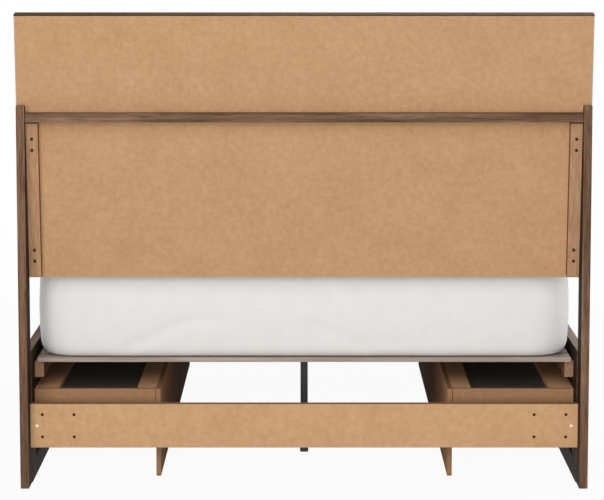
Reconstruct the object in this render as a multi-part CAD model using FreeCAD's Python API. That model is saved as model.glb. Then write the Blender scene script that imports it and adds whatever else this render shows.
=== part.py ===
import FreeCAD, Part
import math
import os

# Storage panel bed in millimetres. X runs across the bed, Y from the headboard to the foot, Z up.
# Pieces are laid out by their depth from the back edges of the head posts. Saving then moves them,
# so that the origin lies on the floor under the middle of the bed.

# Mattress
mattress_width = 1524.0
mattress_length = 2032.0
mattress_height = 290.0
mattress_corner = 95.0         # plan radius of the upright corners
mattress_roll_height = 48.0    # rolled lower and upper edges
mattress_roll_depth = 38.0
mattress_crown = 16.0          # rise of the top from its rolled edge to its middle
mattress_swell = 5.0           # how far each wall stands out at half height
mattress_side_gap = 12.0       # to each side rail
mattress_head_gap = 3.0        # to the face of the headboard
mattress_foot_gap = 8.0        # to the footboard
mattress_rest_gap = 0.3        # soft bottom above the slats
roll_shares = (0.0, 0.2, 0.4, 0.6, 0.8)              # of a rolled edge's quarter turn
wall_shares = (0.0, 0.25, 0.5, 0.75, 1.0)            # of the height between the rolled edges
crown_shares = ((0.2, 0.4), (0.5, 0.8), (0.8, 1.0))  # of the way in to the middle, and of the crown's rise

# Boards of the two long sides
side_thickness = 26.0
plinth_height = 60.0
drawer_opening_height = 180.0
side_rail_height = 140.0
edge_ease = 1.0                # small bevel along the edges of boards
hidden_sides = 8               # of a pin or bore that the boards hide

# Head posts
post_thickness = 24.0
post_depth = 86.0
post_reach = 495.0             # above the lower edge of the headboard

# Hollow panels of the headboard and the footboard
panel_thickness = 40.0
panel_overhang = 4.0           # past each outer side of the bed
face_thickness = 16.0
back_thickness = 9.0
frame_board_width = 60.0
rim_reveal = 4.0               # rim of the frame left showing round the back sheet
headboard_height = 753.0       # along the slope
headboard_foot_height = 587.0
recline_deg = 7.6
footboard_height = 440.0
footboard_glide_height = 10.0
footboard_glide_radius = 11.0
footboard_glide_inset = 90.0
glide_place_shares = (-1.0, -0.33, 0.33, 1.0)        # of the way from the middle to the outermost glides

# Battens that join the headboard to the posts, and the tie rail above them
batten_thickness = 28.0
batten_width = 58.0
batten_foot_gap = 10.0         # above the lower edge of the panel
batten_top_gap = 1.0           # under the tie rail
tie_rail_top_gap = 22.0        # below the tops of the posts
tie_rail_height = 25.0
tie_rail_setback = 11.0

# Screws through the battens
screw_head_radius = 4.5
screw_head_height = 2.0
screw_shank_radius = 2.4
screw_clearance = 0.1
screw_bite = 12.0
screw_pitch = 32.0
screw_inset = 40.0             # from the outer side of the bed
screw_foot_gap = 45.0          # lowest screw above the foot of its batten
screw_top_gap = 44.0           # highest screw below the top of its batten

# Lower rail between the posts, with a pattern of four bolt holes and a cam cap at each end
lower_rail_foot_height = 107.0
lower_rail_height = 126.0
lower_rail_thickness = 24.0
lower_rail_front_gap = 6.0     # behind the front edges of the posts
bolt_hole_radius = 4.5
bolt_hole_end_gap = 34.0
bolt_pitch_across = 90.0
bolt_pitch_up = 64.0
cap_radius = 4.2
cap_thickness = 1.5
cap_recess = 1.0
cap_end_gap = 19.0

# Cams in the ends of the side rails, and the bolts that they draw
cam_radius = 7.5
cam_depth = 13.0
cam_end_gap = 55.0
cam_top_gap = 60.0
cam_foot_gap = 16.0
cam_clearance = 0.1
cam_bolt_radius = 3.5
cam_bolt_bite = 20.0

# Slatted deck
deck_drop = 33.0               # slat tops below the top edge of the side rails
slat_thickness = 13.0
slat_width = 70.0
slat_count = 18
slat_side_gap = 8.0
ledger_width = 25.0
ledger_height = 46.0
ledger_end_gap = 100.0

# Centre legs under some of the slats, which are counted from the head
leg_slats = (4, 8, 11, 15)
leg_tube_width = 22.0
leg_tube_wall = 1.5
leg_plate_width = 50.0
leg_plate_length = 66.0
leg_plate_thickness = 3.0
leg_glide_width = 25.0
leg_glide_height = 8.0
leg_glide_bevel = 3.0          # round the foot of each glide
leg_glide_spigot = 20.0
leg_glide_clearance = 0.2

# Storage pedestals under the long sides
pedestal_lap = 16.0            # above the lower edge of the side rails
pedestal_end_gap = 84.0
pedestal_clear_height = 90.0   # floor to the lower edge of the end panels
aisle_width = 826.0            # between the two pedestals
inner_panel_thickness = 13.0
inner_panel_toe = 10.0
unit_end_thickness = 15.0
unit_end_setback = 3.0         # behind the ends of the inner panel
stretcher_thickness = 15.0
outer_stretcher_width = 68.0
inner_stretcher_width = 54.0
dust_cover_thickness = 3.0
dust_cover_gap = 1.0

# Drawer slides
slide_gap = 13.0               # between a unit end and the side of its drawer
slide_lift = 40.0              # channels above the lower edge of the drawer box
channel_back_gap = 14.0        # to the inner panel
channel_height = 28.0
channel_depth = 9.0
slide_sheet = 1.5              # thickness of channels and runners
channel_setback = 4.0
runner_clearance = 0.3
wheel_web_gap = 1.5            # wheels clear of the web of the channel
wheel_width = 6.0
axle_radius = 3.5
wheel_end_gap = 12.0           # wheel middles from the ends of channels and runners

# Drawers
front_thickness = 20.0
front_reveal = 3.0
drawer_back_gap = 34.0         # to the inner panel
drawer_top_gap = 13.0          # to the dust cover
drawer_board = 12.0
drawer_lift = 40.0             # box above the lower edge of its opening
drawer_bottom_thickness = 5.0
drawer_bottom_lift = 10.0
groove_depth = 6.0
pull_length = 160.0
pull_post_pitch = 128.0
pull_bar_width = 10.0
pull_reach = 30.0
pull_place_share = 0.25        # of the width of the front, from its middle

# Places that follow from the sizes above
bed_half = mattress_width / 2 + mattress_side_gap + side_thickness
side_inner = bed_half - side_thickness
post_inner = bed_half - post_thickness
recline = math.radians(recline_deg)
headboard_depth = post_depth + batten_thickness / math.cos(recline)
mattress_depth = headboard_depth + panel_thickness * math.cos(recline) + mattress_head_gap
foot_depth = mattress_depth + mattress_length + mattress_foot_gap
overall_length = foot_depth + panel_thickness
panel_width = 2 * (bed_half + panel_overhang)
post_height = headboard_foot_height + post_reach
tie_rail_foot_height = post_height - tie_rail_top_gap - tie_rail_height
lower_rail_setback = post_depth - lower_rail_front_gap - lower_rail_thickness
rail_foot_height = plinth_height + drawer_opening_height
side_height = rail_foot_height + side_rail_height
deck_height = side_height - deck_drop
ledger_top = deck_height - slat_thickness
pedestal_start = post_depth + pedestal_end_gap
pedestal_end = foot_depth - pedestal_end_gap
pedestal_middle = (pedestal_start + pedestal_end) / 2
pedestal_height = rail_foot_height + pedestal_lap
unit_start = pedestal_start + unit_end_setback
unit_finish = pedestal_end - unit_end_setback
stretcher_foot = pedestal_height - stretcher_thickness
cover_foot = stretcher_foot - dust_cover_thickness
inner_panel_face = aisle_width / 2
inner_panel_back = inner_panel_face + inner_panel_thickness
cam_heights = (side_height - cam_top_gap, rail_foot_height + cam_foot_gap)
drawer_depth = bed_half - front_thickness - inner_panel_back - drawer_back_gap
drawer_foot = plinth_height + drawer_lift
drawer_side_height = cover_foot - drawer_top_gap - drawer_foot
slide_height = drawer_foot + slide_lift
runner_foot = slide_height + slide_sheet + runner_clearance
runner_top = slide_height + channel_height - slide_sheet - runner_clearance
wheel_radius = (runner_top - slide_sheet - runner_clearance - runner_foot) / 2
wheel_height = runner_foot + wheel_radius
wheel_start = slide_sheet + wheel_web_gap
wheel_end = wheel_start + wheel_width

SIDES = {"left": -1, "right": 1}
ALONG_X = FreeCAD.Vector(1, 0, 0)
ALONG_Y = FreeCAD.Vector(0, 1, 0)
UPWARD = FreeCAD.Vector(0, 0, 1)


def block(x, y, z):
    """A board from its spans along the three axes."""
    corner = FreeCAD.Vector(x[0], y[0], z[0])
    return Part.makeBox(x[1] - x[0], y[1] - y[0], z[1] - z[0], corner)


def across(side, inner, outer):
    """The X span of a piece on one side of the bed, from its distances to the middle."""
    return sorted((side * inner, side * outer))


def centred(middle, size):
    """A span of this size round its middle."""
    return (middle - size / 2, middle + size / 2)


def eased(solid):
    """A board with a small bevel along all its edges."""
    return solid.makeChamfer(edge_ease, solid.Edges)


def rod(base, direction, radius, length):
    return Part.makeCylinder(radius, length, FreeCAD.Vector(*base), direction)


def pin(base, direction, radius, length):
    """A hidden pin or bore along Y, drawn with few sides."""
    x, y, z = base
    turns = [2 * math.pi * number / hidden_sides for number in range(hidden_sides)]
    ring = [FreeCAD.Vector(x + radius * math.cos(turn), y, z + radius * math.sin(turn)) for turn in turns]
    face = Part.Face(Part.makePolygon(ring + ring[:1]))
    return face.extrude(direction * length)


def prism(outline, x):
    """A board whose outline lies in the YZ plane, drawn out along X."""
    points = [FreeCAD.Vector(x[0], y, z) for y, z in outline]
    face = Part.Face(Part.makePolygon(points + points[:1]))
    return face.extrude(FreeCAD.Vector(x[1] - x[0], 0, 0))


def save(node, *solids):
    """Writes one named piece, moved so that the bed is centred on the origin."""
    shape = solids[0] if len(solids) == 1 else Part.makeCompound(solids)
    shape.translate(FreeCAD.Vector(0, -overall_length / 2, 0))
    shape.exportStep(os.path.join("parts", node + ".step"))


# Hollow panels: a face board on a frame, with a back sheet let into the frame


def hollow_panel(height):
    """Face, frame boards and back sheet of a panel that stands upright, back sheet at depth zero."""
    half = panel_width / 2
    core = (0, panel_thickness - face_thickness)
    face = eased(block((-half, half), (core[1], panel_thickness), (0, height)))
    sheet_reach = half - rim_reveal
    sheet = block((-sheet_reach, sheet_reach), (0, back_thickness), (rim_reveal, height - rim_reveal))
    inner = half - frame_board_width
    uprights = (frame_board_width, height - frame_board_width)
    frame = [
        block((-half, half), core, (0, frame_board_width)),
        block((-half, half), core, (uprights[1], height)),
        block((-half, -inner), core, uprights),
        block((inner, half), core, uprights),
        block(centred(0, frame_board_width), core, uprights),
    ]
    return face, [piece.cut(sheet) for piece in frame], sheet


def reclined(solid):
    """Takes a piece drawn on the upright headboard to the headboard's place and slope."""
    solid.translate(FreeCAD.Vector(0, headboard_depth, headboard_foot_height))
    solid.rotate(FreeCAD.Vector(0, headboard_depth, headboard_foot_height), ALONG_X, recline_deg)
    return solid


def back_line(height, behind):
    """Depth, at a height, of the plane that lies this far behind the back of the headboard."""
    rise = height - headboard_foot_height
    return headboard_depth - behind / math.cos(recline) - rise * math.tan(recline)


def batten_top():
    """Upper end of the battens, measured along the slope from the foot of the headboard."""
    rise = tie_rail_foot_height - headboard_foot_height
    return rise / math.cos(recline) - batten_top_gap


def screw_places():
    """The X and slope height of each screw: two close pairs in either batten."""
    low = batten_foot_gap + screw_foot_gap
    high = batten_top() - screw_top_gap
    heights = (low, low + screw_pitch, high - screw_pitch, high)
    return [(side * (bed_half - screw_inset), height) for side in SIDES.values() for height in heights]


def drill_all(solid, tools):
    for tool in tools:
        solid = solid.cut(tool)
    return solid


def make_headboard():
    face, frame, back = hollow_panel(headboard_height)
    reach = batten_thickness + back_thickness + screw_bite
    wide = screw_shank_radius + screw_clearance
    bores = [pin((x, -batten_thickness, z), ALONG_Y, wide, reach) for x, z in screw_places()]
    screws = []
    for x, z in screw_places():
        shank = pin((x, -batten_thickness, z), ALONG_Y, screw_shank_radius, reach)
        head = rod((x, -batten_thickness, z), -ALONG_Y, screw_head_radius, screw_head_height)
        screws.append(reclined(shank.fuse(head)))
    for name, side in SIDES.items():
        x = across(side, bed_half - batten_width, bed_half)
        batten = block(x, (-batten_thickness, 0), (batten_foot_gap, batten_top()))
        save("batten_" + name, reclined(drill_all(eased(batten), bores)))
    save("headboard_face", reclined(face))
    save("headboard_frame", *[reclined(drill_all(piece, bores)) for piece in frame])
    save("headboard_back", reclined(drill_all(back, bores)))
    save("batten_screws", *screws)


def cam_bolt(side, end, inward, height, clearance):
    """A cam bolt across the joint at one end of a side rail. Inward points along the rail."""
    x = side * (side_inner + cam_depth)
    length = cam_bolt_bite + cam_end_gap - cam_radius - cam_clearance
    base = (x, end - inward * cam_bolt_bite, height)
    return pin(base, inward * ALONG_Y, cam_bolt_radius + clearance, length)


def make_posts():
    knee = (back_line(headboard_foot_height, batten_thickness), headboard_foot_height)
    top = (back_line(post_height, batten_thickness), post_height)
    outline = [(0, 0), (post_depth, 0), knee, top, (0, post_height)]
    for name, side in SIDES.items():
        post = eased(prism(outline, across(side, post_inner, bed_half)))
        bores = [cam_bolt(side, post_depth, 1, height, cam_clearance) for height in cam_heights]
        save("head_post_" + name, drill_all(post, bores))
    foot = tie_rail_foot_height
    top = tie_rail_foot_height + tie_rail_height
    back = tie_rail_setback
    outline = [(back, foot), (back_line(foot, 0), foot), (back_line(top, 0), top), (back, top)]
    save("tie_rail", prism(outline, (-post_inner, post_inner)))


def make_lower_rail():
    depth = (lower_rail_setback, lower_rail_setback + lower_rail_thickness)
    top = lower_rail_foot_height + lower_rail_height
    middle = lower_rail_foot_height + lower_rail_height / 2
    rail = eased(block((-post_inner, post_inner), depth, (lower_rail_foot_height, top)))
    caps = []
    for side in SIDES.values():
        outer = post_inner - bolt_hole_end_gap
        for x in (outer, outer - bolt_pitch_across):
            for height in centred(middle, bolt_pitch_up):
                place = (side * x, depth[0], height)
                rail = rail.cut(rod(place, ALONG_Y, bolt_hole_radius, lower_rail_thickness))
        place = (side * (post_inner - cap_end_gap), depth[0] + cap_recess, middle)
        rail = rail.cut(rod(place, -ALONG_Y, cap_radius, cap_recess))
        caps.append(rod(place, -ALONG_Y, cap_radius, cap_thickness))
    save("lower_rail", rail)
    save("cam_caps", *caps)


# Long sides: rail, plinth and stiles round the drawer openings, ledger and deck


def make_sides():
    rail_ends = {post_depth: 1, foot_depth: -1}
    stile_depths = (
        (post_depth, unit_start + unit_end_thickness),
        centred(pedestal_middle, 2 * unit_end_thickness),
        (unit_finish - unit_end_thickness, foot_depth),
    )
    cams = []
    bolts = []
    for name, side in SIDES.items():
        x = across(side, side_inner, bed_half)
        rail = eased(block(x, (post_depth, foot_depth), (rail_foot_height, side_height)))
        for end, inward in rail_ends.items():
            for height in cam_heights:
                place = (side * side_inner, end + inward * cam_end_gap, height)
                rail = rail.cut(rod(place, side * ALONG_X, cam_radius + cam_clearance, cam_depth))
                rail = rail.cut(cam_bolt(side, end, inward, height, cam_clearance))
                cams.append(rod(place, side * ALONG_X, cam_radius, cam_depth))
                bolts.append(cam_bolt(side, end, inward, height, 0))
        save("side_rail_" + name, rail)
        save("side_plinth_" + name, eased(block(x, (post_depth, foot_depth), (0, plinth_height))))
        save("side_stiles_" + name, *[block(x, y, (plinth_height, rail_foot_height)) for y in stile_depths])
        ledger = (post_depth + ledger_end_gap, foot_depth - ledger_end_gap)
        x = across(side, side_inner - ledger_width, side_inner)
        save("ledger_" + name, block(x, ledger, (ledger_top - ledger_height, ledger_top)))
    save("rail_cams", *cams)
    save("cam_bolts", *bolts)


def slat_middle(number):
    """Depth of the middle of a slat, counted from the head."""
    first = pedestal_start + slat_width / 2
    last = pedestal_end - slat_width / 2
    return first + (number - 1) * (last - first) / (slat_count - 1)


def make_deck():
    reach = side_inner - slat_side_gap
    middles = [slat_middle(number) for number in range(1, slat_count + 1)]
    height = (ledger_top, deck_height)
    save("slats", *[eased(block((-reach, reach), centred(y, slat_width), height)) for y in middles])
    tubes = []
    plates = []
    glides = []
    plate_foot = ledger_top - leg_plate_thickness
    bore = leg_tube_width - 2 * leg_tube_wall
    spigot = bore - 2 * leg_glide_clearance
    for number in leg_slats:
        y = slat_middle(number)
        length = (leg_glide_height, plate_foot)
        tube = block(centred(0, leg_tube_width), centred(y, leg_tube_width), length)
        tubes.append(tube.cut(block(centred(0, bore), centred(y, bore), length)))
        plate = block(centred(0, leg_plate_width), centred(y, leg_plate_length), (plate_foot, ledger_top))
        plates.append(plate)
        pad = block(centred(0, leg_glide_width), centred(y, leg_glide_width), (0, leg_glide_height))
        top = leg_glide_height + leg_glide_spigot
        plug = block(centred(0, spigot), centred(y, spigot), (leg_glide_height, top))
        sole = [edge for edge in pad.Edges if edge.BoundBox.ZMax < leg_glide_bevel]
        glides.append(pad.makeChamfer(leg_glide_bevel, sole).fuse(plug).removeSplitter())
    save("centre_legs", *tubes)
    save("leg_plates", *plates)
    save("leg_glides", *glides)


# Storage pedestals with their drawer units and slides


def drawer_bays():
    """The clear depth spans between the ends of the two drawer units of a pedestal."""
    return {
        "head": (unit_start + unit_end_thickness, pedestal_middle - unit_end_thickness),
        "foot": (pedestal_middle + unit_end_thickness, unit_finish - unit_end_thickness),
    }


def toe_edges(panel):
    """The lower end edges of an inner panel, which are rounded off."""
    low = panel.BoundBox.ZMin
    flat = [edge for edge in panel.Edges if edge.BoundBox.ZMax - low < inner_panel_toe]
    return [edge for edge in flat if edge.BoundBox.YLength < inner_panel_toe]


def channel(face, opens, x):
    """A slide channel on a unit end. Opens is the way along Y that its mouth looks."""
    profile = (
        (0, 0),
        (channel_depth, 0),
        (channel_depth, slide_sheet),
        (slide_sheet, slide_sheet),
        (slide_sheet, channel_height - slide_sheet),
        (channel_depth, channel_height - slide_sheet),
        (channel_depth, channel_height),
        (0, channel_height),
    )
    return prism([(face + opens * y, slide_height + z) for y, z in profile], x)


def runner(face, opens, x):
    """The drawer's half of a slide, seen from the same unit end: a web on the drawer and a flange on top."""
    web = slide_gap - slide_sheet
    profile = (
        (web, runner_foot),
        (slide_gap, runner_foot),
        (slide_gap, runner_top),
        (wheel_start, runner_top),
        (wheel_start, runner_top - slide_sheet),
        (web, runner_top - slide_sheet),
    )
    return prism([(face + opens * y, z) for y, z in profile], x)


def wheel(face, opens, x, stub):
    """A slide wheel on a stub axle, which reaches from one depth to another, measured from the unit end."""
    tread = rod((x, face + opens * wheel_start, wheel_height), opens * ALONG_Y, wheel_radius, wheel_width)
    axle = pin((x, face + opens * stub[0], wheel_height), opens * ALONG_Y, axle_radius, stub[1] - stub[0])
    return tread.fuse(axle)


def make_pedestals():
    channels = []
    wheels = []
    covers = []
    for name, side in SIDES.items():
        x = across(side, inner_panel_face, inner_panel_back)
        panel = block(x, (pedestal_start, pedestal_end), (0, pedestal_height))
        save("inner_panel_" + name, panel.makeFillet(inner_panel_toe, toe_edges(panel)))
        x = across(side, inner_panel_back, side_inner)
        tall = (pedestal_clear_height, pedestal_height)
        low = (pedestal_clear_height, cover_foot)
        ends = [
            block(x, (unit_start, unit_start + unit_end_thickness), tall),
            block(x, (pedestal_middle - unit_end_thickness, pedestal_middle), low),
            block(x, (pedestal_middle, pedestal_middle + unit_end_thickness), low),
            block(x, (unit_finish - unit_end_thickness, unit_finish), tall),
        ]
        save("unit_ends_" + name, *ends)
        length = (unit_start + unit_end_thickness, unit_finish - unit_end_thickness)
        height = (stretcher_foot, pedestal_height)
        inner = across(side, inner_panel_back, inner_panel_back + inner_stretcher_width)
        outer = across(side, side_inner - outer_stretcher_width, side_inner)
        save("top_stretchers_" + name, block(inner, length, height), block(outer, length, height))
        cover = across(side, inner_panel_back + dust_cover_gap, side_inner - dust_cover_gap)
        covers.append(block(cover, length, (cover_foot, stretcher_foot)))
        x = across(side, inner_panel_back + channel_back_gap, side_inner - channel_setback)
        spot = side * (side_inner - channel_setback - wheel_end_gap)
        for bay in drawer_bays().values():
            for face, opens in zip(bay, (1, -1)):
                channels.append(channel(face, opens, x))
                wheels.append(wheel(face, opens, spot, (slide_sheet, wheel_end)))
    save("dust_covers", *covers)
    save("slide_channels", *channels)
    save("slide_wheels", *wheels)


def pull(side, middle, height):
    """A square bar on two feet: bar, foot, foot."""
    foot = across(side, bed_half, bed_half + pull_reach - pull_bar_width)
    bar = across(side, bed_half + pull_reach - pull_bar_width, bed_half + pull_reach)
    z = centred(height, pull_bar_width)
    feet = [block(foot, centred(y, pull_bar_width), z) for y in centred(middle, pull_post_pitch)]
    return [eased(block(bar, centred(middle, pull_length), z))] + feet


def make_drawer(name, side, bay):
    front_back = bed_half - front_thickness
    box_end = front_back - drawer_depth
    low = drawer_foot
    outer = (bay[0] + slide_gap, bay[1] - slide_gap)
    inner = (outer[0] + drawer_board, outer[1] - drawer_board)
    bottom_foot = low + drawer_bottom_lift
    bottom_z = (bottom_foot, bottom_foot + drawer_bottom_thickness)
    bottom_y = (inner[0] - groove_depth, inner[1] + groove_depth)
    bottom = block(across(side, box_end, front_back + groove_depth), bottom_y, bottom_z)

    front_y = (bay[0] + front_reveal, bay[1] - front_reveal)
    front_z = (plinth_height + front_reveal, rail_foot_height - front_reveal)
    front = eased(block(across(side, front_back, bed_half), front_y, front_z))
    save(name + "_front", front.cut(bottom))

    x = across(side, box_end, front_back)
    z = (low, low + drawer_side_height)
    walls = [block(x, (outer[0], inner[0]), z), block(x, (inner[1], outer[1]), z)]
    back = block(across(side, box_end, box_end + drawer_board), inner, (bottom_z[1], z[1]))
    save(name + "_box", *[wall.cut(bottom) for wall in walls], back)
    save(name + "_bottom", bottom)

    runners = []
    spot = side * (box_end + wheel_end_gap)
    stub = (wheel_start, slide_gap - slide_sheet)
    for face, opens in zip(bay, (1, -1)):
        runners.append(runner(face, opens, x))
        runners.append(wheel(face, opens, spot, stub))
    save(name + "_runners", *runners)

    place = (front_y[1] - front_y[0]) * pull_place_share
    middle = (front_y[0] + front_y[1]) / 2
    height = (front_z[0] + front_z[1]) / 2
    save(name + "_pulls", *pull(side, middle - place, height), *pull(side, middle + place, height))


def make_footboard():
    height = footboard_height - footboard_glide_height
    face, frame, back = hollow_panel(height)
    bores = []
    for side in SIDES.values():
        bores += [cam_bolt(side, foot_depth, -1, level, cam_clearance) for level in cam_heights]
    seat = FreeCAD.Vector(0, foot_depth, footboard_glide_height)
    for piece in [face, back] + frame:
        piece.translate(seat)
    save("footboard_face", face)
    save("footboard_frame", *[drill_all(piece, bores) for piece in frame])
    save("footboard_back", drill_all(back, bores))
    depth = foot_depth + (panel_thickness - face_thickness) / 2
    reach = panel_width / 2 - footboard_glide_inset
    glides = []
    for share in glide_place_shares:
        place = (reach * share, depth, 0)
        glides.append(rod(place, UPWARD, footboard_glide_radius, footboard_glide_height))
    save("foot_glides", *glides)


# Mattress: rolled edges, walls that swell a little, crowned top


def rounded_outline(half_x, half_y, radius, height):
    """A level outline with round corners, centred on the mattress."""
    middle = mattress_depth + mattress_length / 2
    edges = []
    last = None
    first = None
    diagonal = radius * (1 - math.sqrt(0.5))
    for sx, sy in ((1, -1), (1, 1), (-1, 1), (-1, -1)):
        corner = FreeCAD.Vector(sx * half_x, middle + sy * half_y, height)
        on_x = corner - FreeCAD.Vector(sx * radius, 0, 0)
        on_y = corner - FreeCAD.Vector(0, sy * radius, 0)
        turn = corner - FreeCAD.Vector(sx * diagonal, sy * diagonal, 0)
        start, end = (on_x, on_y) if sx * sy < 0 else (on_y, on_x)
        if last is None:
            first = start
        else:
            edges.append(Part.LineSegment(last, start).toShape())
        edges.append(Part.Arc(start, turn, end).toShape())
        last = end
    edges.append(Part.LineSegment(last, first).toShape())
    return Part.Wire(edges)


def make_mattress():
    foot = deck_height + mattress_rest_gap
    shoulder = foot + mattress_height - mattress_crown
    wall = (foot + mattress_roll_height, shoulder - mattress_roll_height)
    rings = []
    for share in roll_shares:
        turn = share * math.pi / 2
        inset = mattress_roll_depth * (1 - math.sin(turn))
        rings.append((foot + mattress_roll_height * (1 - math.cos(turn)), inset))
    walls = [(wall[0] + share * (wall[1] - wall[0]), 0) for share in wall_shares]
    tops = [(foot + shoulder - height, inset) for height, inset in reversed(rings)]
    reach = mattress_width / 2 - mattress_roll_depth - mattress_corner
    crown = [(shoulder + mattress_crown * up, mattress_roll_depth + reach * way) for way, up in crown_shares]
    wires = []
    for height, inset in rings + walls + tops + crown:
        wall_share = min(max((height - wall[0]) / (wall[1] - wall[0]), 0), 1)
        draw = inset + mattress_swell * (1 - math.sin(wall_share * math.pi))
        radius = mattress_corner - min(inset, mattress_roll_depth)
        wires.append(rounded_outline(mattress_width / 2 - draw, mattress_length / 2 - draw, radius, height))
    save("mattress", Part.makeLoft(wires, True, True))


os.makedirs("parts", exist_ok=True)
make_headboard()
make_posts()
make_lower_rail()
make_sides()
make_deck()
make_pedestals()
for side_name, side_sign in SIDES.items():
    for bay_name, bay_span in drawer_bays().items():
        make_drawer("drawer_" + side_name + "_" + bay_name, side_sign, bay_span)
make_footboard()
make_mattress()
print("bed", round(2 * bed_half), "x", round(overall_length), "mm")
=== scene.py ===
# %% [markdown]
# A storage bed seen from behind its headboard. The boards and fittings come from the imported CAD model,
# which is loaded here as a fixed frame. This script sets up the camera and the studio, gives every board
# and fitting its finish, and makes the soft mattress.

# %% Load the frame
import bpy
import math
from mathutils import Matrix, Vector, noise


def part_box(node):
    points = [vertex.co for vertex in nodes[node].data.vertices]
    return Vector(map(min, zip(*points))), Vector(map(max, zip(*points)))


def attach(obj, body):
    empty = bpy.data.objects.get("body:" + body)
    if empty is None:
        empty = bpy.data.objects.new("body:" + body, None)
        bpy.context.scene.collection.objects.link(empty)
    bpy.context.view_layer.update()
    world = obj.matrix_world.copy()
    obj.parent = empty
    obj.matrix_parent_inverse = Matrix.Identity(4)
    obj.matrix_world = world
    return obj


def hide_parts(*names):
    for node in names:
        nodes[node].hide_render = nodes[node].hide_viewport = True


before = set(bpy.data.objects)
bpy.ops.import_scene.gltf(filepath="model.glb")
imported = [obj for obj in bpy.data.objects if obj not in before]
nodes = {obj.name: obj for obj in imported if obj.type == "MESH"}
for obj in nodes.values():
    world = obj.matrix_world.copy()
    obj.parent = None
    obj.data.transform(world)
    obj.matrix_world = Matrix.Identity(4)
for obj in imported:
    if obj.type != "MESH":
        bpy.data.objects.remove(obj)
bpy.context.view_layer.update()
bpy.ops.object.select_all(action="DESELECT")

# %% [markdown]
# The picture was taken from far behind the headboard through a long lens, a little above the panel. A
# long lens keeps the posts nearly parallel, so the camera is set back and tilted down a few degrees.
# The tiny sideways shift puts the middle of the bed where the picture has it.

# %% Camera
EYE = Vector((0.0, -8.455, 1.589))
TILT_DOWN = math.radians(7.07)
LENS = 157.9           # millimetres, for a sensor 36 mm wide
SENSOR = 36.0
SIDE_SHIFT = -0.0035   # share of the picture's width
FARTHEST = 200.0       # metres
bpy.ops.object.camera_add(location=EYE, rotation=(math.pi / 2 - TILT_DOWN, 0, 0))
camera = bpy.context.object
camera.data.lens = LENS
camera.data.sensor_width = SENSOR
camera.data.shift_x = SIDE_SHIFT
camera.data.clip_end = FARTHEST
bpy.context.scene.camera = camera
bpy.context.scene.view_settings.view_transform = "Standard"
print("camera", [round(v, 2) for v in camera.location])

# %% [markdown]
# Colours are picked as sRGB hex values, the way a paint chart gives them. Shaders work in linear
# light, so one function converts them. A second function adds a shader node with its settings, its
# values and its links, so that a material reads as a list of nodes. Some boards are finished on some
# of their sides only, and the last function tells a shader which way a face looks.

# %% Colour and node helpers
def linear(hex_colour):
    """An sRGB hex colour as linear RGBA."""
    channels = [int(hex_colour[i:i + 2], 16) / 255 for i in (1, 3, 5)]
    return [c / 12.92 if c <= 0.04045 else ((c + 0.055) / 1.055) ** 2.4 for c in channels] + [1.0]


def add(tree, kind, inputs=None, stops=None, **settings):
    """Adds a node. Inputs maps sockets to values or to the sockets that feed them; stops fill a ramp."""
    node = tree.nodes.new(kind)
    for name, value in settings.items():
        setattr(node, name, value)
    if stops:
        ramp = node.color_ramp.elements
        while len(ramp) < len(stops):
            ramp.new(0.5)
        for element, (place, colour) in zip(ramp, stops):
            element.position = place
            element.color = linear(colour)
    for name, value in (inputs or {}).items():
        if isinstance(value, bpy.types.NodeSocket):
            tree.links.new(value, node.inputs[name])
        else:
            node.inputs[name].default_value = value
    return node


def start(name):
    """A new material with its tree, a principled shader, and the piece's own coordinates in metres."""
    material = bpy.data.materials.new(name)
    material.use_nodes = True
    tree = material.node_tree
    tree.nodes.clear()
    shader = add(tree, "ShaderNodeBsdfPrincipled")
    add(tree, "ShaderNodeOutputMaterial", {"Surface": shader.outputs[0]})
    place = add(tree, "ShaderNodeTexCoord").outputs["Object"]
    return material, tree, shader, place


def looking(tree, axis, way):
    """A mask of the faces that look along an axis of the bed: way is 1, -1 or 0 for both ways."""
    normal = add(tree, "ShaderNodeTexCoord").outputs["Normal"]
    turned = add(tree, "ShaderNodeSeparateXYZ", {0: normal}).outputs[axis]
    if way:
        turned = add(tree, "ShaderNodeMath", {0: turned, 1: way}, operation="MULTIPLY").outputs[0]
    else:
        turned = add(tree, "ShaderNodeMath", {0: turned}, operation="ABSOLUTE").outputs[0]
    return add(tree, "ShaderNodeMath", {0: turned, 1: SQUARE_ON}, operation="GREATER_THAN").outputs[0]


SQUARE_ON = 0.5        # a face counts as looking along an axis when its normal goes this far
MM = 0.001
MIX_FACTOR, MIX_A, MIX_B, MIX_RESULT = 0, 6, 7, 2   # colour sockets of a Mix node
print("raw board is", [round(c, 3) for c in linear("#C29A6E")])

# %% [markdown]
# The studio is a pale floor that runs out to a white background. A real white sweep would need so much
# light that the boards would look washed out. So the camera sees the floor mostly as plain white, with
# a soft part of the shadow left in, and turning all white further out. For the light that bounces off
# it, the floor is a mid grey.

# %% Floor
FLOOR_SIZE = 60.0
FLOOR_WHITE = 0.95     # share of plain white that the camera sees on the floor round the bed
FADE_START = 2.5       # metres from the middle of the bed, where the floor starts to turn all white
FADE_END = 7.0
FLOOR_GREY = (0.5, 0.5, 0.5, 1)
WHITE = (1, 1, 1, 1)


def seen_by_eye(tree):
    """1 for what the camera sees straight, in a gloss or through glass, and 0 for light that bounces."""
    path = add(tree, "ShaderNodeLightPath").outputs
    seen = add(tree, "ShaderNodeMath", {0: path["Is Camera Ray"], 1: path["Is Glossy Ray"]},
               operation="ADD")
    return add(tree, "ShaderNodeMath", {0: seen.outputs[0], 1: path["Is Transmission Ray"]},
               operation="ADD", use_clamp=True).outputs[0]


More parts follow.
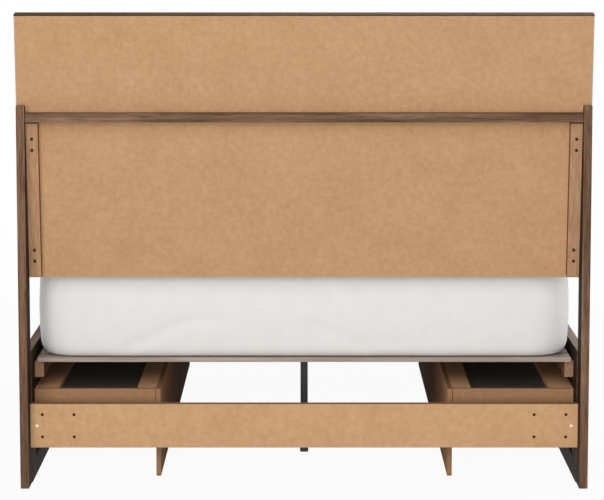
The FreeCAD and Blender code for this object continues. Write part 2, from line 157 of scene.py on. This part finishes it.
bpy.ops.mesh.primitive_plane_add(size=FLOOR_SIZE, location=(0, 0, 0))
floor = bpy.context.object
floor.name = "studio_floor"
paint = bpy.data.materials.new("pale_studio_floor")
paint.use_nodes = True
tree = paint.node_tree
tree.nodes.clear()
spot = add(tree, "ShaderNodeTexCoord").outputs["Object"]
away = add(tree, "ShaderNodeVectorMath", {0: spot}, operation="LENGTH")
fade = add(tree, "ShaderNodeMapRange", {"Value": away.outputs["Value"], "From Min": FADE_START,
                                        "From Max": FADE_END, "To Min": FLOOR_WHITE, "To Max": 1.0})
share = add(tree, "ShaderNodeMath", {0: seen_by_eye(tree), 1: fade.outputs[0]}, operation="MULTIPLY")
lit = add(tree, "ShaderNodeBsdfDiffuse", {"Color": FLOOR_GREY})
white = add(tree, "ShaderNodeEmission", {"Color": WHITE, "Strength": 1.0})
both = add(tree, "ShaderNodeMixShader", {0: share.outputs[0], 1: lit.outputs[0], 2: white.outputs[0]})
add(tree, "ShaderNodeOutputMaterial", {"Surface": both.outputs[0]})
floor.data.materials.append(paint)
print("floor", FLOOR_SIZE, "m")

# %% [markdown]
# The light is soft and comes mostly from behind the camera, because that is the side the picture
# shows: a large box at eye height for the even light on the panel, one higher up for the shadow under
# the tie rail, and a small one near the floor that reaches in under the panel. Three more boxes light
# the long sides and the foot, which the picture leaves out but other views show. The sky fills in the
# rest.

# %% Sky and lamps
SKY_STRENGTH = 0.16
world = bpy.data.worlds.new("studio_sky")
bpy.context.scene.world = world
world.use_nodes = True
tree = world.node_tree
tree.nodes.clear()
dim = add(tree, "ShaderNodeBackground", {"Color": WHITE, "Strength": SKY_STRENGTH})
bright = add(tree, "ShaderNodeBackground", {"Color": WHITE, "Strength": 1.0})
both = add(tree, "ShaderNodeMixShader", {0: seen_by_eye(tree), 1: dim.outputs[0], 2: bright.outputs[0]})
add(tree, "ShaderNodeOutputWorld", {"Surface": both.outputs[0]})

AIM = Vector((0, 0, 0.5))
LAMPS = (   # name, place, size of the square box in metres, watts
    ("head_softbox", (-1.4, -9.1, 2.05), 4.0, 268.0),
    ("high_softbox", (-0.6, -6.6, 4.4), 4.2, 132.0),
    ("low_softbox", (0.2, -7.6, 0.75), 1.3, 74.0),
    ("left_softbox", (-5.2, 5.2, 2.6), 2.6, 300.0),
    ("right_softbox", (5.5, 2.0, 2.6), 2.6, 260.0),
    ("foot_softbox", (1.0, 7.0, 2.8), 3.0, 260.0),
)
for name, spot, size, power in LAMPS:
    turn = (AIM - Vector(spot)).to_track_quat("-Z", "Y").to_euler()
    bpy.ops.object.light_add(type="AREA", location=spot, rotation=turn)
    lamp = bpy.context.object
    lamp.name = name
    lamp.data.size = size
    lamp.data.energy = power
    lamp.visible_camera = False
print(len(LAMPS), "lamps")

# %% [markdown]
# Raw fibreboard makes the back of the headboard, the lower rail and most of the storage pedestals. It
# is wood fibre pressed with resin, so it has no grain. The eye sees warm tan clouds a hand wide,
# smaller blotches, and a fine fleck of fibres. Three noises at those sizes give that, on a dull
# surface. There are a middle set of colours, a darker one, a paler one on the lower rail, which is
# painted light, and a palest one on the top stretchers, which is painted light that is toned down
# further in by painted shade. The wide faces of the inner panels of the pedestals carry painted shade,
# thin at the head end and darker towards the middle of the bed, while their edges stay raw. So their
# shader asks which way a face looks and how far in it is. Where an end board meets such a panel, a fine
# dark line of painted shade marks the joint. The upper face of the lower rail is a darker brown, which
# is painted shade.

# %% Raw fibreboard
CLOUD = 110 * MM
BLOTCH = 16 * MM
FIBRE = 2.2 * MM       # drawn coarser than real fibres, so that the fleck shows in the render
TONE_PLACES = (0.3, 0.5, 0.7)   # of the dark, the middle and the light colour in each noise
BLOTCH_SHARE = 0.5
FIBRE_SHARE = 0.25
DULL = 0.06            # specular level of raw board and of matt film
DULLEST = 0.015        # specular level of the faces with painted shade
JOINT_SHADE_BROWN = "#50392A"
JOINT_WIDTH = 2 * MM
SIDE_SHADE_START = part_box("inner_panel_right")[0].y
SIDE_SHADE_RUN = 1.1        # metres over which the painted shade on the inner panels darkens
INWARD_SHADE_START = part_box("top_stretchers_right")[0].y
INWARD_SHADE_RUN = 0.6         # metres over which the painted shade on the top stretchers darkens


def further_in(tree, place, first, run, stops):
    """Colours from a ramp that starts at one place along the bed and runs some metres towards the foot."""
    along = add(tree, "ShaderNodeSeparateXYZ", {0: place}).outputs["Y"]
    along = add(tree, "ShaderNodeMapRange", {"Value": along, "From Min": first, "From Max": first + run})
    return add(tree, "ShaderNodeValToRGB", {0: along.outputs[0]}, stops=stops).outputs[0]


def fibreboard(name, clouds, blotches, fibres, side_shade=None, inward_shade=None, shaded_top=None, joint=None):
    """Pressed fibreboard from three noises, each with a dark, a middle and a light colour. The fourth
    argument is a ramp of painted shade for the faces that look sideways, darker further in; the fifth a
    ramp of painted shade over all of the board, darker further in; the sixth a colour of painted shade
    for the upper face; and joint the distance from the bed's middle of a dark line of painted shade at a
    joint."""
    material, tree, shader, place = start(name)
    layers = []
    for size, colours in ((CLOUD, clouds), (BLOTCH, blotches), (FIBRE, fibres)):
        grain = add(tree, "ShaderNodeTexNoise", {"Vector": place, "Scale": 1 / size, "Detail": 3.0,
                                                 "Roughness": 0.6})
        ramp = add(tree, "ShaderNodeValToRGB", {0: grain.outputs[0]}, stops=list(zip(TONE_PLACES, colours)))
        layers.append(ramp.outputs[0])
    colour = add(tree, "ShaderNodeMix", {MIX_FACTOR: BLOTCH_SHARE, MIX_A: layers[0], MIX_B: layers[1]},
                 data_type="RGBA").outputs[MIX_RESULT]
    colour = add(tree, "ShaderNodeMix", {MIX_FACTOR: FIBRE_SHARE, MIX_A: colour, MIX_B: layers[2]},
                 data_type="RGBA").outputs[MIX_RESULT]
    # painted shade on the faces that look sideways, darker further in
    if side_shade:
        side_shade_colour = further_in(tree, place, SIDE_SHADE_START, SIDE_SHADE_RUN, side_shade)
        colour = add(tree, "ShaderNodeMix", {MIX_FACTOR: looking(tree, "X", 0), MIX_A: colour,
                                             MIX_B: side_shade_colour}, data_type="RGBA").outputs[MIX_RESULT]
    # painted shade over the whole board, darker further in
    if inward_shade:
        inward_shade_colour = further_in(tree, place, INWARD_SHADE_START, INWARD_SHADE_RUN, inward_shade)
        colour = add(tree, "ShaderNodeMix", {MIX_FACTOR: 1.0, MIX_A: colour, MIX_B: inward_shade_colour},
                     data_type="RGBA", blend_type="MULTIPLY").outputs[MIX_RESULT]
    # painted shade on the faces that look up
    if shaded_top:
        colour = add(tree, "ShaderNodeMix", {MIX_FACTOR: looking(tree, "Z", 1), MIX_A: colour,
                                             MIX_B: linear(shaded_top)}, data_type="RGBA").outputs[MIX_RESULT]
    # a dark line of painted shade where an end board meets an inner panel
    if joint:
        across = add(tree, "ShaderNodeSeparateXYZ", {0: place}).outputs["X"]
        across = add(tree, "ShaderNodeMath", {0: across}, operation="ABSOLUTE")
        line = add(tree, "ShaderNodeMath", {0: across.outputs[0], 1: joint + JOINT_WIDTH},
                   operation="LESS_THAN")
        colour = add(tree, "ShaderNodeMix", {MIX_FACTOR: line.outputs[0], MIX_A: colour,
                                             MIX_B: linear(JOINT_SHADE_BROWN)},
                     data_type="RGBA").outputs[MIX_RESULT]
    tree.links.new(colour, shader.inputs["Base Color"])
    bump = add(tree, "ShaderNodeBump", {"Strength": 0.12, "Distance": 0.3 * MM, "Height": grain.outputs[0]})
    tree.links.new(bump.outputs[0], shader.inputs["Normal"])
    shader.inputs["Roughness"].default_value = 0.78
    shader.inputs["Specular IOR Level"].default_value = DULLEST if side_shade else DULL
    return material


RAW_BOARD = (
    ("#BD9068", "#C49971", "#CAA17A"),
    ("#B4865E", "#C39870", "#CDA780"),
    ("#A57952", "#C39870", "#D5B18A"),
)
# Painted light: paler colours for the lower rail, the same board as the back of the headboard
PALE_LIT_BOARD = (
    ("#C7996F", "#CEA278", "#D4AA81"),
    ("#BE8F65", "#CDA177", "#D7B087"),
    ("#AF8259", "#CDA177", "#DFBA91"),
)
# Painted light: the palest colours, for the head ends of the top stretchers
PALEST_LIT_BOARD = (
    ("#E3AF80", "#EBB98A", "#F2C294"),
    ("#D9A474", "#EAB889", "#F5C99B"),
    ("#C89566", "#EAB889", "#FDD4A6"),
)
DARK_BOARD = (
    ("#9D7655", "#A57D5B", "#AC8462"),
    ("#967050", "#A47C5B", "#AF8866"),
    ("#8A6645", "#A47C5B", "#B6906E"),
)
raw_board = fibreboard("raw_fibreboard", *RAW_BOARD)
# Painted shade: the top stretchers darken further in
INWARD_SHADE = ((0.0, "#FFFFFF"), (0.28, "#FFFFFF"), (0.47, "#E4E4E4"), (1.0, "#DADADA"))
lit_and_shaded_pale_board = fibreboard("pale_fibreboard", *PALEST_LIT_BOARD, inward_shade=INWARD_SHADE)
# The upper face of the lower rail is darkened by painted shade
rail_board = fibreboard("pale_fibreboard_with_painted_shade_on_top", *PALE_LIT_BOARD, shaded_top="#957150")
# The end boards get a fine dark line of painted shade at their joint with the inner panels
end_board = fibreboard("dark_fibreboard", *DARK_BOARD, joint=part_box("inner_panel_right")[1].x)
# Painted shade on the wide faces of the inner panels, darker towards the middle of the bed
SIDE_SHADE = ((0.0, "#F0C49C"), (0.12, "#E4B28C"), (0.28, "#CF9C78"), (0.62, "#AC8064"), (1.0, "#7C5A44"))
side_shaded_board = fibreboard("fibreboard_with_painted_side_shade", *DARK_BOARD, side_shade=SIDE_SHADE)
print(raw_board.name, lit_and_shaded_pale_board.name, rail_board.name, end_board.name, side_shaded_board.name)

# %% [markdown]
# The finished boards carry a printed film of weathered oak: grey-brown streaks that run with the
# board, dark pore lines between them, and slow changes from board to board. The same recipe serves
# every direction of grain, because the pattern is stretched along one axis of the bed. The posts are
# drawn in lighter tones of the same film, which is painted light. The posts and side boards are filmed
# in charcoal on their inner sides. The frame of the headboard is drawn in darker tones, painted shade
# for its top edge, and the edges that it turns to the back are left raw, except along the top.

# %% Weathered oak film
STREAK = 22 * MM       # width of one grey or brown streak
PORE = 3.0 * MM        # spacing of the dark pore lines, drawn coarse enough to show
STRETCH = 0.05         # streaks are twenty times as long as they are wide
PATCH = 260 * MM       # size of the slow changes from pale to dark
PORE_TONES = ((0.36, "#6E6259"), (0.5, "#FFFFFF"))
PORE_SHARE = 0.45
WASH_TONES = ((0.35, "#D8CDC4"), (0.65, "#FFFFFF"))
WASH_SHARE = 0.7
CHARCOAL_TONES = ((0.3, "#231A15"), (0.7, "#32261F"))
RAW_EDGE = "#BFA184"
STREAK_PLACES = (0.28, 0.42, 0.53, 0.64, 0.78)
OAK_TONES = ("#4B3628", "#6A513E", "#7D614C", "#8F725C", "#A18671")
# painted light: lighter tones of the same film for the posts
LIT_POST_TONES = ("#523B2C", "#735844", "#886953", "#9A7C64", "#AE927B")
# painted shade: darker tones of the same film for the frame's top edge
SHADED_RIM_TONES = ("#33241B", "#443127", "#4F3A2E", "#5C463A", "#6E5A4E")


def weathered_oak(name, axis, tones=OAK_TONES, inner_face=None, raw_below=None):
    """Printed oak film with its grain along one axis. Inner_face is the X place of a charcoal inner side,
    raw_below the height below which the edges that look to the back are raw."""
    material, tree, shader, place = start(name)
    scale = [1.0, 1.0, 1.0]
    scale["XYZ".index(axis)] = STRETCH
    along = add(tree, "ShaderNodeMapping", {"Vector": place, "Scale": scale}).outputs[0]
    streak = add(tree, "ShaderNodeTexNoise", {"Vector": along, "Scale": 1 / STREAK, "Detail": 5.0,
                                              "Roughness": 0.62, "Distortion": 0.5})
    pore = add(tree, "ShaderNodeTexNoise", {"Vector": along, "Scale": 1 / PORE, "Detail": 2.0,
                                            "Roughness": 0.6})
    patch = add(tree, "ShaderNodeTexNoise", {"Vector": place, "Scale": 1 / PATCH, "Detail": 1.0})
    tone = add(tree, "ShaderNodeValToRGB", {0: streak.outputs[0]}, stops=list(zip(STREAK_PLACES, tones)))
    lines = add(tree, "ShaderNodeValToRGB", {0: pore.outputs[0]}, stops=PORE_TONES)
    colour = add(tree, "ShaderNodeMix", {MIX_FACTOR: PORE_SHARE, MIX_A: tone.outputs[0],
                                         MIX_B: lines.outputs[0]},
                 data_type="RGBA", blend_type="MULTIPLY").outputs[MIX_RESULT]
    wash = add(tree, "ShaderNodeValToRGB", {0: patch.outputs[0]}, stops=WASH_TONES)
    colour = add(tree, "ShaderNodeMix", {MIX_FACTOR: WASH_SHARE, MIX_A: colour, MIX_B: wash.outputs[0]},
                 data_type="RGBA", blend_type="MULTIPLY").outputs[MIX_RESULT]
    if inner_face:
        across = add(tree, "ShaderNodeSeparateXYZ", {0: place}).outputs["X"]
        across = add(tree, "ShaderNodeMath", {0: across}, operation="ABSOLUTE")
        inside = add(tree, "ShaderNodeMath", {0: across.outputs[0], 1: inner_face}, operation="LESS_THAN")
        charcoal = add(tree, "ShaderNodeValToRGB", {0: streak.outputs[0]}, stops=CHARCOAL_TONES)
        colour = add(tree, "ShaderNodeMix", {MIX_FACTOR: inside.outputs[0], MIX_A: colour,
                                             MIX_B: charcoal.outputs[0]},
                     data_type="RGBA").outputs[MIX_RESULT]
    if raw_below:
        height = add(tree, "ShaderNodeSeparateXYZ", {0: place}).outputs["Z"]
        low = add(tree, "ShaderNodeMath", {0: height, 1: raw_below}, operation="LESS_THAN")
        raw = add(tree, "ShaderNodeMath", {0: looking(tree, "Y", -1), 1: low.outputs[0]},
                  operation="MULTIPLY")
        colour = add(tree, "ShaderNodeMix", {MIX_FACTOR: raw.outputs[0], MIX_A: colour,
                                             MIX_B: linear(RAW_EDGE)}, data_type="RGBA").outputs[MIX_RESULT]
    tree.links.new(colour, shader.inputs["Base Color"])
    rough = add(tree, "ShaderNodeMapRange", {"Value": streak.outputs[0], "To Min": 0.6, "To Max": 0.75})
    tree.links.new(rough.outputs[0], shader.inputs["Roughness"])
    shader.inputs["Specular IOR Level"].default_value = DULL
    bump = add(tree, "ShaderNodeBump", {"Strength": 0.25, "Distance": 0.25 * MM, "Height": pore.outputs[0]})
    tree.links.new(bump.outputs[0], shader.inputs["Normal"])
    return material


SKIN = 0.5 * MM        # the charcoal reaches this far into a board from its inner side
SIDE_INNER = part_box("side_rail_right")[0].x
POST_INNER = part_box("head_post_right")[0].x
PANEL_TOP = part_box("headboard_back")[1].z
oak_post = weathered_oak("weathered_oak_post_painted_light", "Z", tones=LIT_POST_TONES, inner_face=POST_INNER + SKIN)
oak_across = weathered_oak("weathered_oak_across", "X")
oak_rim = weathered_oak("weathered_oak_rim_painted_shade", "X", tones=SHADED_RIM_TONES, raw_below=PANEL_TOP - 2 * MM)
oak_along = weathered_oak("weathered_oak_along", "Y")
oak_side = weathered_oak("weathered_oak_side", "Y", inner_face=SIDE_INNER + SKIN)
oak_stile = weathered_oak("weathered_oak_stile", "Z", inner_face=SIDE_INNER + SKIN)
print("side boards are charcoal inside", round(SIDE_INNER, 4))

# %% [markdown]
# Battens and ledgers are planed softwood left bare: straight fine grain on a warm ground. Slats are
# paler and greyer. All come from one recipe with the grain along the piece. The battens are a warm
# brown drawn a little darker for painted shade in the corners beside the posts, and their two long
# sides are a darker brown, which is painted shade.

# %% Bare timber
RING = 7 * MM
RING_STRETCH = 0.03    # rings run thirty times as long as they are wide


def bare_timber(name, axis, dark, middle, light, shaded_sides=None):
    """Planed wood with growth rings drawn out along one axis. A colour given for the sides is painted shade
    on the faces that look sideways.
    """
    material, tree, shader, place = start(name)
    scale = [1.0, 1.0, 1.0]
    scale["XYZ".index(axis)] = RING_STRETCH
    along = add(tree, "ShaderNodeMapping", {"Vector": place, "Scale": scale}).outputs[0]
    ring = add(tree, "ShaderNodeTexNoise", {"Vector": along, "Scale": 1 / RING, "Detail": 4.0,
                                            "Roughness": 0.6})
    colour = add(tree, "ShaderNodeValToRGB", {0: ring.outputs[0]},
                 stops=[(0.3, dark), (0.52, middle), (0.72, light)]).outputs[0]
    if shaded_sides:
        colour = add(tree, "ShaderNodeMix", {MIX_FACTOR: looking(tree, "X", 0), MIX_A: colour,
                                             MIX_B: linear(shaded_sides)}, data_type="RGBA").outputs[MIX_RESULT]
    tree.links.new(colour, shader.inputs["Base Color"])
    bump = add(tree, "ShaderNodeBump", {"Strength": 0.2, "Distance": 0.2 * MM, "Height": ring.outputs[0]})
    tree.links.new(bump.outputs[0], shader.inputs["Normal"])
    shader.inputs["Roughness"].default_value = 0.7
    shader.inputs["Specular IOR Level"].default_value = 0.3
    return material


# the battens' tones are partly painted shade, and their sides darker still with painted shade
batten_timber = bare_timber("bare_batten_timber_with_painted_shade", "Z", "#A37A58", "#B18864", "#BE9571", shaded_sides="#7A5336")
ledger_timber = bare_timber("bare_ledger_timber", "Y", "#876349", "#9C7559", "#AB8366")
slat_timber = bare_timber("bare_slat_timber", "X", "#97877C", "#A99A8E", "#B8AA9E")
print(batten_timber.name, ledger_timber.name, slat_timber.name)

# %% [markdown]
# The drawer boxes are thin board in a pale printed film. The dust covers are hardboard painted black, a
# dull surface with a faint pebble; they are drawn dark grey, which is painted light.

# %% Drawer film and black hardboard
drawer_film = bare_timber("pale_oak_drawer_film", "Y", "#B29B83", "#C2AC94", "#CDB9A3")
PEBBLE = 1.6 * MM
black_board, tree, shader, place = start("black_hardboard_with_painted_light")
pebble = add(tree, "ShaderNodeTexNoise", {"Vector": place, "Scale": 1 / PEBBLE, "Detail": 2.0})
# painted light: dark grey rather than black
tone = add(tree, "ShaderNodeValToRGB", {0: pebble.outputs[0]}, stops=[(0.3, "#544C48"), (0.7, "#645B57")])
tree.links.new(tone.outputs[0], shader.inputs["Base Color"])
bump = add(tree, "ShaderNodeBump", {"Strength": 0.2, "Distance": 0.2 * MM, "Height": pebble.outputs[0]})
tree.links.new(bump.outputs[0], shader.inputs["Normal"])
shader.inputs["Roughness"].default_value = 0.7
print(drawer_film.name, black_board.name)

# %% [markdown]
# Small fittings have a plain colour with a very fine surface: legs and pulls a black powder coat that
# cures to a fine orange peel, screws a brown oxide, caps and glides the grain of their mould. One
# recipe serves them all, with the size of the grain and the gloss as its values.

# %% Coated steel and moulded plastic
def fine_grain(name, dark, light, size, roughness, gloss):
    """An even finish with a fine grain of one size."""
    material, tree, shader, place = start(name)
    grain = add(tree, "ShaderNodeTexNoise", {"Vector": place, "Scale": 1 / size, "Detail": 2.0})
    tone = add(tree, "ShaderNodeValToRGB", {0: grain.outputs[0]}, stops=[(0.3, dark), (0.7, light)])
    tree.links.new(tone.outputs[0], shader.inputs["Base Color"])
    bump = add(tree, "ShaderNodeBump", {"Strength": 0.12, "Distance": 0.1 * size,
                                        "Height": grain.outputs[0]})
    tree.links.new(bump.outputs[0], shader.inputs["Normal"])
    shader.inputs["Roughness"].default_value = roughness
    shader.inputs["Specular IOR Level"].default_value = gloss
    return material


black_steel = fine_grain("black_powder_coated_steel", "#1E1C1B", "#2A2827", 1.2 * MM, 0.5, 0.35)
brown_steel = fine_grain("brown_oxide_screw_steel", "#3A2212", "#4A2E1B", 1.0 * MM, 0.6, 0.1)
cream_plastic = fine_grain("cream_plastic", "#F6E2D0", "#FFF0E2", 0.9 * MM, 0.4, 0.4)
black_plastic = fine_grain("black_plastic", "#1B1A1A", "#282727", 0.9 * MM, 0.5, 0.4)
print(black_steel.name, brown_steel.name, cream_plastic.name, black_plastic.name)

# %% [markdown]
# The slides and bolts are zinc plated: bright, a little mottled, with a blurred reflection. A drawer's
# runner also carries two nylon wheels. They lie outside its upright webs and under its top flanges,
# so the shader finds them from those two places.

# %% Zinc plate and nylon wheels
SPANGLE = 9 * MM
WEB_DEPTH = 8.3 * MM   # wheels and their axles stand out this far from the webs
FLANGE = 1.7 * MM      # thickness of a runner's top flange, with a little to spare
ZINC_TONES = ((0.2, "#AEB2B6"), (0.8, "#C6C9CB"))
NYLON = "#F3E9DF"


def zinc_plate(name, runners=None):
    """Zinc plated steel. Runners names a node that has nylon wheels as well."""
    material, tree, shader, place = start(name)
    spangle = add(tree, "ShaderNodeTexVoronoi", {"Vector": place, "Scale": 1 / SPANGLE}).outputs["Color"]
    colour = add(tree, "ShaderNodeValToRGB", {0: spangle}, stops=ZINC_TONES).outputs[0]
    rough = add(tree, "ShaderNodeMapRange", {"Value": spangle, "To Min": 0.28, "To Max": 0.42})
    tree.links.new(rough.outputs[0], shader.inputs["Roughness"])
    shader.inputs["Metallic"].default_value = 1.0
    if runners:
        low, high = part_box(runners)
        spot = add(tree, "ShaderNodeSeparateXYZ", {0: place}).outputs
        off = add(tree, "ShaderNodeMath", {0: spot["Y"], 1: (low.y + high.y) / 2}, operation="SUBTRACT")
        off = add(tree, "ShaderNodeMath", {0: off.outputs[0]}, operation="ABSOLUTE")
        outside = add(tree, "ShaderNodeMath", {0: off.outputs[0], 1: (high.y - low.y) / 2 - WEB_DEPTH},
                      operation="GREATER_THAN")
        under = add(tree, "ShaderNodeMath", {0: spot["Z"], 1: high.z - FLANGE}, operation="LESS_THAN")
        nylon = add(tree, "ShaderNodeMath", {0: outside.outputs[0], 1: under.outputs[0]},
                    operation="MULTIPLY")
        colour = add(tree, "ShaderNodeMix", {MIX_FACTOR: nylon.outputs[0], MIX_A: colour,
                                             MIX_B: linear(NYLON)}, data_type="RGBA").outputs[MIX_RESULT]
        metal = add(tree, "ShaderNodeMath", {0: 1.0, 1: nylon.outputs[0]}, operation="SUBTRACT")
        tree.links.new(metal.outputs[0], shader.inputs["Metallic"])
    tree.links.new(colour, shader.inputs["Base Color"])
    return material


zinc = zinc_plate("zinc_plated_steel")
zinc_head = zinc_plate("zinc_runner_with_nylon_wheels_head", "drawer_left_head_runners")
zinc_foot = zinc_plate("zinc_runner_with_nylon_wheels_foot", "drawer_left_foot_runners")
print(zinc.name, zinc_head.name, zinc_foot.name)

# %% [markdown]
# Every CAD node now takes its finish. A table lists which words in a node's name ask for which
# finish, and the first match wins.

# %% Finishes of the boards and fittings
FINISHES = (
    (("head_post",), oak_post),
    (("side_stiles",), oak_stile),
    (("side_rail", "side_plinth"), oak_side),
    (("headboard_frame",), oak_rim),
    (("tie_rail", "headboard_face", "footboard"), oak_across),
    (("_front",), oak_along),
    (("_pulls", "centre_legs", "leg_plates"), black_steel),
    (("batten_screws", "rail_cams"), brown_steel),
    (("head_runners",), zinc_head),
    (("foot_runners",), zinc_foot),
    (("slide_channels", "cam_bolts"), zinc),
    (("_box", "_bottom"), drawer_film),
    (("headboard_back",), raw_board),
    (("lower_rail",), rail_board),
    (("top_stretchers",), lit_and_shaded_pale_board),
    (("unit_ends",), end_board),
    (("inner_panel",), side_shaded_board),
    (("batten_left", "batten_right"), batten_timber),
    (("ledger",), ledger_timber),
    (("slats",), slat_timber),
    (("dust_covers",), black_board),
    (("cam_caps", "slide_wheels"), cream_plastic),
    (("glides",), black_plastic),
)
for name, node in nodes.items():
    for words, material in FINISHES:
        if any(word in name for word in words):
            node.data.materials.clear()
            node.data.materials.append(material)
            break
    else:
        print("still without a finish:", name)
print(len(FINISHES), "rows of finishes for", len(nodes), "nodes")

# %% [markdown]
# The mattress wears a plain off-white knitted cover. Close up the knit is rows of small loops; from
# a few steps away only a soft nap is left. The loops are drawn as a slanting wave that a fine noise
# breaks up into stitches.

# %% Knitted cover
STITCH = 3.2 * MM      # drawn about twice the real stitch, so that it shows close up
NAP = 60 * MM
knit, tree, shader, place = start("off_white_knitted_cover")
rows = add(tree, "ShaderNodeTexWave", {"Vector": place, "Scale": 0.5 / STITCH, "Distortion": 0.6},
           wave_type="BANDS", bands_direction="DIAGONAL")
nap = add(tree, "ShaderNodeTexNoise", {"Vector": place, "Scale": 1 / NAP, "Detail": 3.0})
fuzz = add(tree, "ShaderNodeTexNoise", {"Vector": place, "Scale": 1 / STITCH, "Detail": 3.0})
tone = add(tree, "ShaderNodeValToRGB", {0: nap.outputs[0]}, stops=[(0.3, "#E9E6E3"), (0.7, "#EDEAE7")])
tree.links.new(tone.outputs[0], shader.inputs["Base Color"])
loops = add(tree, "ShaderNodeMath", {0: rows.outputs[0], 1: fuzz.outputs[0]}, operation="MULTIPLY")
bump = add(tree, "ShaderNodeBump", {"Strength": 0.25, "Distance": 0.4 * MM, "Height": loops.outputs[0]})
tree.links.new(bump.outputs[0], shader.inputs["Normal"])
shader.inputs["Roughness"].default_value = 0.9
shader.inputs["Sheen Weight"].default_value = 0.15
shader.inputs["Specular IOR Level"].default_value = 0.2
print(knit.name)

# %% [markdown]
# The mattress itself is soft foam under that cover. A cloth simulation would swell it like a cushion,
# but a mattress of this kind is firm and keeps its walls nearly straight. So it starts as a copy of
# the CAD block's closed form, which is remeshed into even quads and relaxed until the edges are soft.

# %% Mattress
VOXEL = 13 * MM
MERGE = 0.1 * MM       # points of the CAD triangles that are nearer than this become one
RELAX_SHARE = 0.5
RELAX_STEPS = 4
source = nodes["mattress"]
bpy.ops.object.select_all(action="DESELECT")
source.select_set(True)
bpy.context.view_layer.objects.active = source
bpy.ops.object.duplicate()
pad = bpy.context.object
pad.name = "mattress_pad"
pad.parent = None
for key in list(pad.keys()):   # the copy drops the marks of a CAD node
    del pad[key]
bpy.ops.object.mode_set(mode="EDIT")
bpy.ops.mesh.select_all(action="SELECT")
bpy.ops.mesh.remove_doubles(threshold=MERGE)
bpy.ops.object.mode_set(mode="OBJECT")
remesh = pad.modifiers.new("even_quads", "REMESH")
remesh.mode = "VOXEL"
remesh.voxel_size = VOXEL
bpy.ops.object.modifier_apply(modifier=remesh.name)
smooth = pad.modifiers.new("relax", "SMOOTH")
smooth.factor = RELAX_SHARE
smooth.iterations = RELAX_STEPS
bpy.ops.object.modifier_apply(modifier=smooth.name)
bpy.ops.object.shade_smooth()
pad.data.materials.clear()
pad.data.materials.append(knit)
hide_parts("mattress")
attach(pad, "bed_frame")
print("mattress", len(pad.data.polygons), "faces")

# %% [markdown]
# A loose cover is never quite flat. On the head wall two shallow pull lines run up from the lower
# edge, with two fainter ones near them. They are drawn as short chains of points, each with a depth and
# a width, and every point of the mesh near a chain is pressed in by a soft bell curve. The rest of the
# cover undulates by about a millimetre, and the top a little more. These moves go inwards, so the pad
# stays clear of the boards round it. The two side walls are filled out, most near their lower and upper
# edges, because the rails leave room there. The weight of the foam also fills the rolled lower edge at
# the sides and the head.

# %% Pull lines in the cover
PULLS = (   # X and Z of the points along each line, its depth and its width
    (((-0.545, 0.360), (-0.44, 0.405), (-0.37, 0.438), (-0.32, 0.452), (-0.2, 0.455)), 5.0 * MM, 15 * MM),
    (((0.0, 0.452), (0.08, 0.425), (0.195, 0.366)), 4.0 * MM, 14 * MM),
    (((0.07, 0.400), (0.2, 0.388), (0.31, 0.392)), 2.0 * MM, 12 * MM),
    (((-0.16, 0.53), (0.05, 0.522), (0.2, 0.54)), 1.5 * MM, 26 * MM),
)
END_FADE = 2.5         # a higher number keeps a pull line at full depth nearer to its ends
FACING = 0.6           # how far a normal goes along an axis on the head wall and on the lying face
WAVE = 0.19            # metres from crest to crest of the undulation
WAVE_DEPTH = 1.2 * MM
TOP_DEPTH = 3.0 * MM   # on the lying face
FILL_OUT = 5 * MM      # of the side walls
EDGE_FILL = 5 * MM     # added to that at their lower and upper edges
ROLL_HEIGHT = 48 * MM  # of the rolled lower edge
ROLL_DEPTH = 38 * MM
HEAD_FILL = 0.45       # share of the roll's depth that is filled along the head wall
SIDE_FILL = 0.30       # and along the side walls
FILL_REACH = 0.15      # metres in from a wall over which that runs out
CORNER_START = 0.64    # metres from the middle of the bed, where the filling at the head starts to fade
CORNER_END = 0.77


def press(point, line, depth, width):
    """How far a pull line presses in a point of the head wall. The line fades out at both ends."""
    steps = list(zip(line, line[1:]))
    deepest = 0.0
    for number, (start_point, end_point) in enumerate(steps):
        begin = Vector(start_point)
        run = Vector(end_point) - begin
        share = min(max((point - begin).dot(run) / run.length_squared, 0.0), 1.0)
        away = (point - begin - run * share).length
        along = (number + share) / len(steps)
        fade = min(1.0, END_FADE * math.sin(math.pi * along))
        deepest = max(deepest, depth * fade * math.exp(-(away / width) ** 2))
    return deepest


low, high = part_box("mattress")
middle = (low.z + high.z) / 2
outward = [vertex.normal.copy() for vertex in pad.data.vertices]
for vertex, normal in zip(pad.data.vertices, outward):
    move = (TOP_DEPTH if normal.z > FACING else WAVE_DEPTH) * (0.5 + 0.5 * noise.noise(vertex.co / WAVE))
    if normal.y < -FACING:
        spot = Vector((vertex.co.x, vertex.co.z))
        move += max(press(spot, line, depth, width) for line, depth, width in PULLS)
    vertex.co -= normal * move
    edge_share = 2 * abs(vertex.co.z - middle) / (high.z - low.z)
    vertex.co.x += (FILL_OUT + EDGE_FILL * edge_share ** 2) * normal.x
    roll_share = min(max((vertex.co.z - low.z) / ROLL_HEIGHT, 0.0), 1.0)
    inset = ROLL_DEPTH * (1 - math.sqrt(1 - (1 - roll_share) ** 2))
    near_head = max(0.0, 1 - (vertex.co.y - low.y) / FILL_REACH)
    near_side = max(0.0, 1 - (high.x - abs(vertex.co.x)) / FILL_REACH)
    off_corner = min(max((CORNER_END - abs(vertex.co.x)) / (CORNER_END - CORNER_START), 0.0), 1.0)
    vertex.co.y -= HEAD_FILL * inset * near_head * off_corner
    vertex.co.x += math.copysign(SIDE_FILL * inset * near_side, vertex.co.x)
print(len(PULLS), "pull lines")
